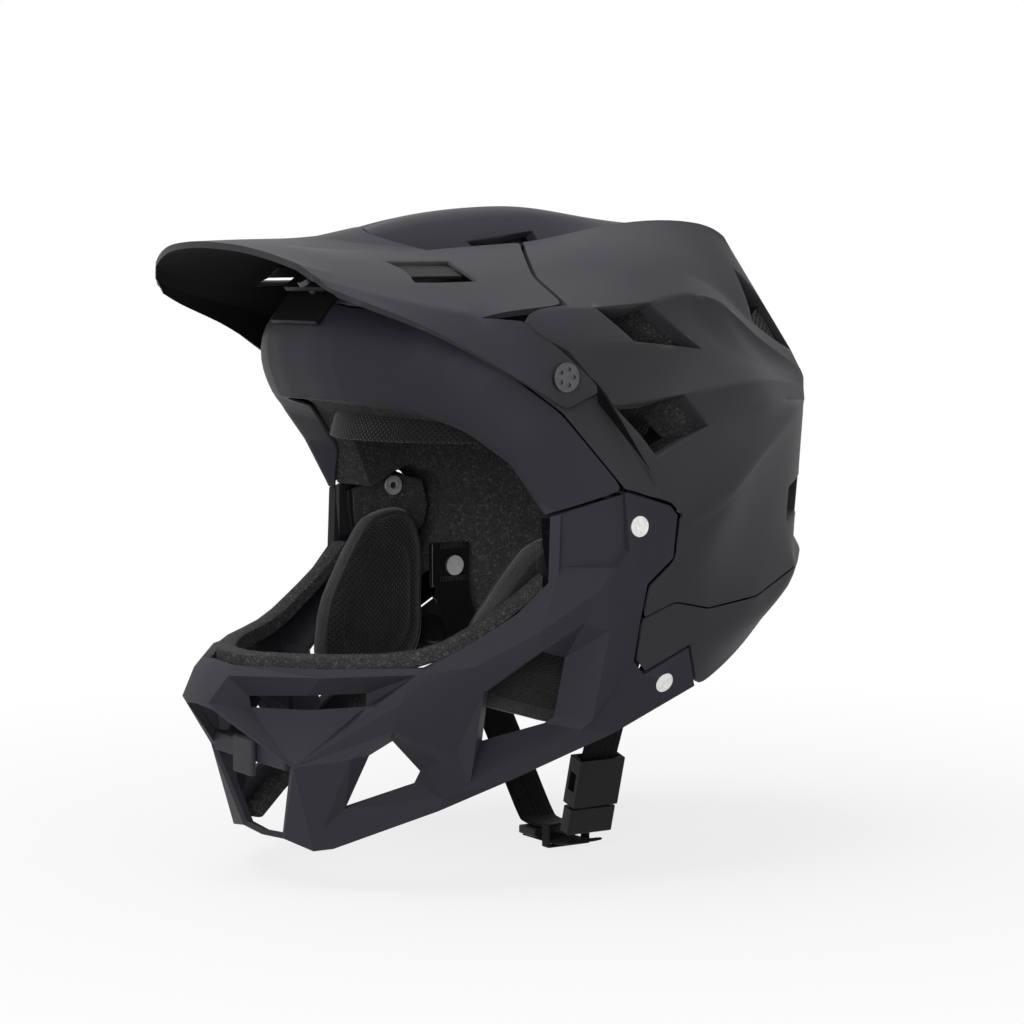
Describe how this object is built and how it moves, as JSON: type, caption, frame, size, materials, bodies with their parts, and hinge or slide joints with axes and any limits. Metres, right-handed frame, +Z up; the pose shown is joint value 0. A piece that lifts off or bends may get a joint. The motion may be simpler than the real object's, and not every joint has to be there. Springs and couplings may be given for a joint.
{
  "type": "full face bike helmet",
  "caption": "Full face downhill bike helmet with tilting visor, removable chin bar, release buttons, comfort pads and a hanging chin strap.",
  "frame": {"origin": "centre of the head that wears it, level with the ears", "axes": "-Y to the front, +X to the wearer's left, +Z up"},
  "size_m": [0.237, 0.3276, 0.3032],
  "materials": {
    "buckle_plastic": "matte",
    "grille_mesh": "speckled mesh",
    "liner_foam": "moulded bead foam",
    "pad_fabric": "knitted mesh",
    "rubber_trim": "matte",
    "screw_metal": "satin",
    "shell_plastic": "matte injection moulded",
    "stud_metal": "satin",
    "trim_plastic": "matte",
    "webbing": "woven"
  },
  "bodies": {
    "helmet": {"brow_pad": "pad_fabric", "brow_receiver": "trim_plastic", "cheek_pad_left": "pad_fabric", "cheek_pad_right": "pad_fabric", "chin_bar_seats": "trim_plastic", "crown_pads": "pad_fabric", "eyeport_frame": "shell_plastic", "foam_liner": "liner_foam", "lower_shell": "shell_plastic", "nape_pad": "pad_fabric", "outer_shell": "shell_plastic", "pad_snaps": "trim_plastic", "rear_vent_grilles": "grille_mesh", "side_foam": "liner_foam", "side_pads": "pad_fabric", "strap_anchor_plates": "screw_metal", "strap_anchor_rivets": "screw_metal", "temple_washers": "screw_metal", "visor_bracket_screw": "screw_metal", "visor_pivot_bosses": "trim_plastic", "visor_pivot_screws": "screw_metal"},
    "strap": {"buckle_plug": "buckle_plastic", "buckle_socket": "buckle_plastic", "strap_keeper": "rubber_trim", "strap_slider": "buckle_plastic", "strap_webbing_end": "webbing", "strap_webbing_left": "webbing", "strap_webbing_right": "webbing"},
    "chin_bar": {"button_housings": "trim_plastic", "chin_bar_edge_liner": "liner_foam", "chin_bar_rim_liner": "liner_foam", "chin_bar_shell": "shell_plastic", "chin_crossbar": "shell_plastic", "crossbar_clip": "shell_plastic", "locating_studs": "stud_metal", "stud_collars": "trim_plastic"},
    "button_left": {"release_button_left": "stud_metal"},
    "button_right": {"release_button_right": "stud_metal"},
    "visor": {"visor": "shell_plastic", "visor_bracket": "trim_plastic", "visor_vent_inserts": "trim_plastic"}
  },
  "joints": [
    {"name": "visor_tilt", "type": "hinge", "parent": "helmet", "child": "visor", "pos_m": [0, -0.055, 0.069], "axis": [1, 0, 0], "range_deg": [0, 5]},
    {"name": "chin_bar_slide", "type": "slide", "parent": "helmet", "child": "chin_bar", "axis": [0, -0.8944, -0.4472], "range_m": [0, 0.09]},
    {"name": "button_left_press", "type": "slide", "parent": "chin_bar", "child": "button_left", "axis": [-0.939, -0.0549, 0.3396], "range_m": [0, 0.0022], "stiffness_N_per_m": 800, "springref_m": -0.001},
    {"name": "button_right_press", "type": "slide", "parent": "chin_bar", "child": "button_right", "axis": [0.939, -0.0549, 0.3396], "range_m": [0, 0.0022], "stiffness_N_per_m": 800, "springref_m": -0.001},
    {"name": "strap_swing", "type": "hinge", "parent": "helmet", "child": "strap", "pos_m": [0, 0.005, -0.033], "axis": [1, 0, 0], "range_deg": [-8, 25]}
  ]
}
